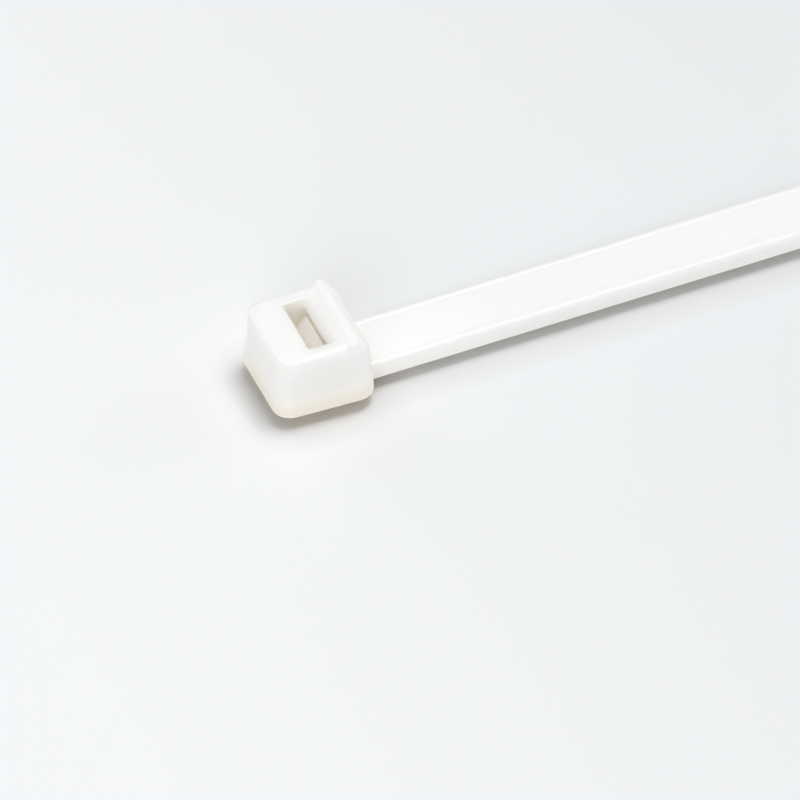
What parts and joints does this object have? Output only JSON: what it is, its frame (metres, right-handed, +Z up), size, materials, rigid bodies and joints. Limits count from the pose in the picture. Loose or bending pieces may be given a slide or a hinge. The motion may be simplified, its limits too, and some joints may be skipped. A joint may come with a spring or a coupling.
{
  "type": "cable tie",
  "caption": "Self-locking moulded nylon cable tie: slotted head with a toothed pawl on a living hinge, and a flat strap with a ratchet rack along its underside.",
  "frame": {"origin": "centre of the slot's mouth on the head's underside", "axes": "+X along the strap from the head to the tail, +Y across the strap, +Z up through the slot, the way the tail leaves it"},
  "size_m": [0.15, 0.0064, 0.0043],
  "materials": {
    "natural_nylon": "milky translucent natural nylon, moulded, soft satin"
  },
  "bodies": {
    "root": {"cable_tie": "natural_nylon"}
  },
  "joints": []
}
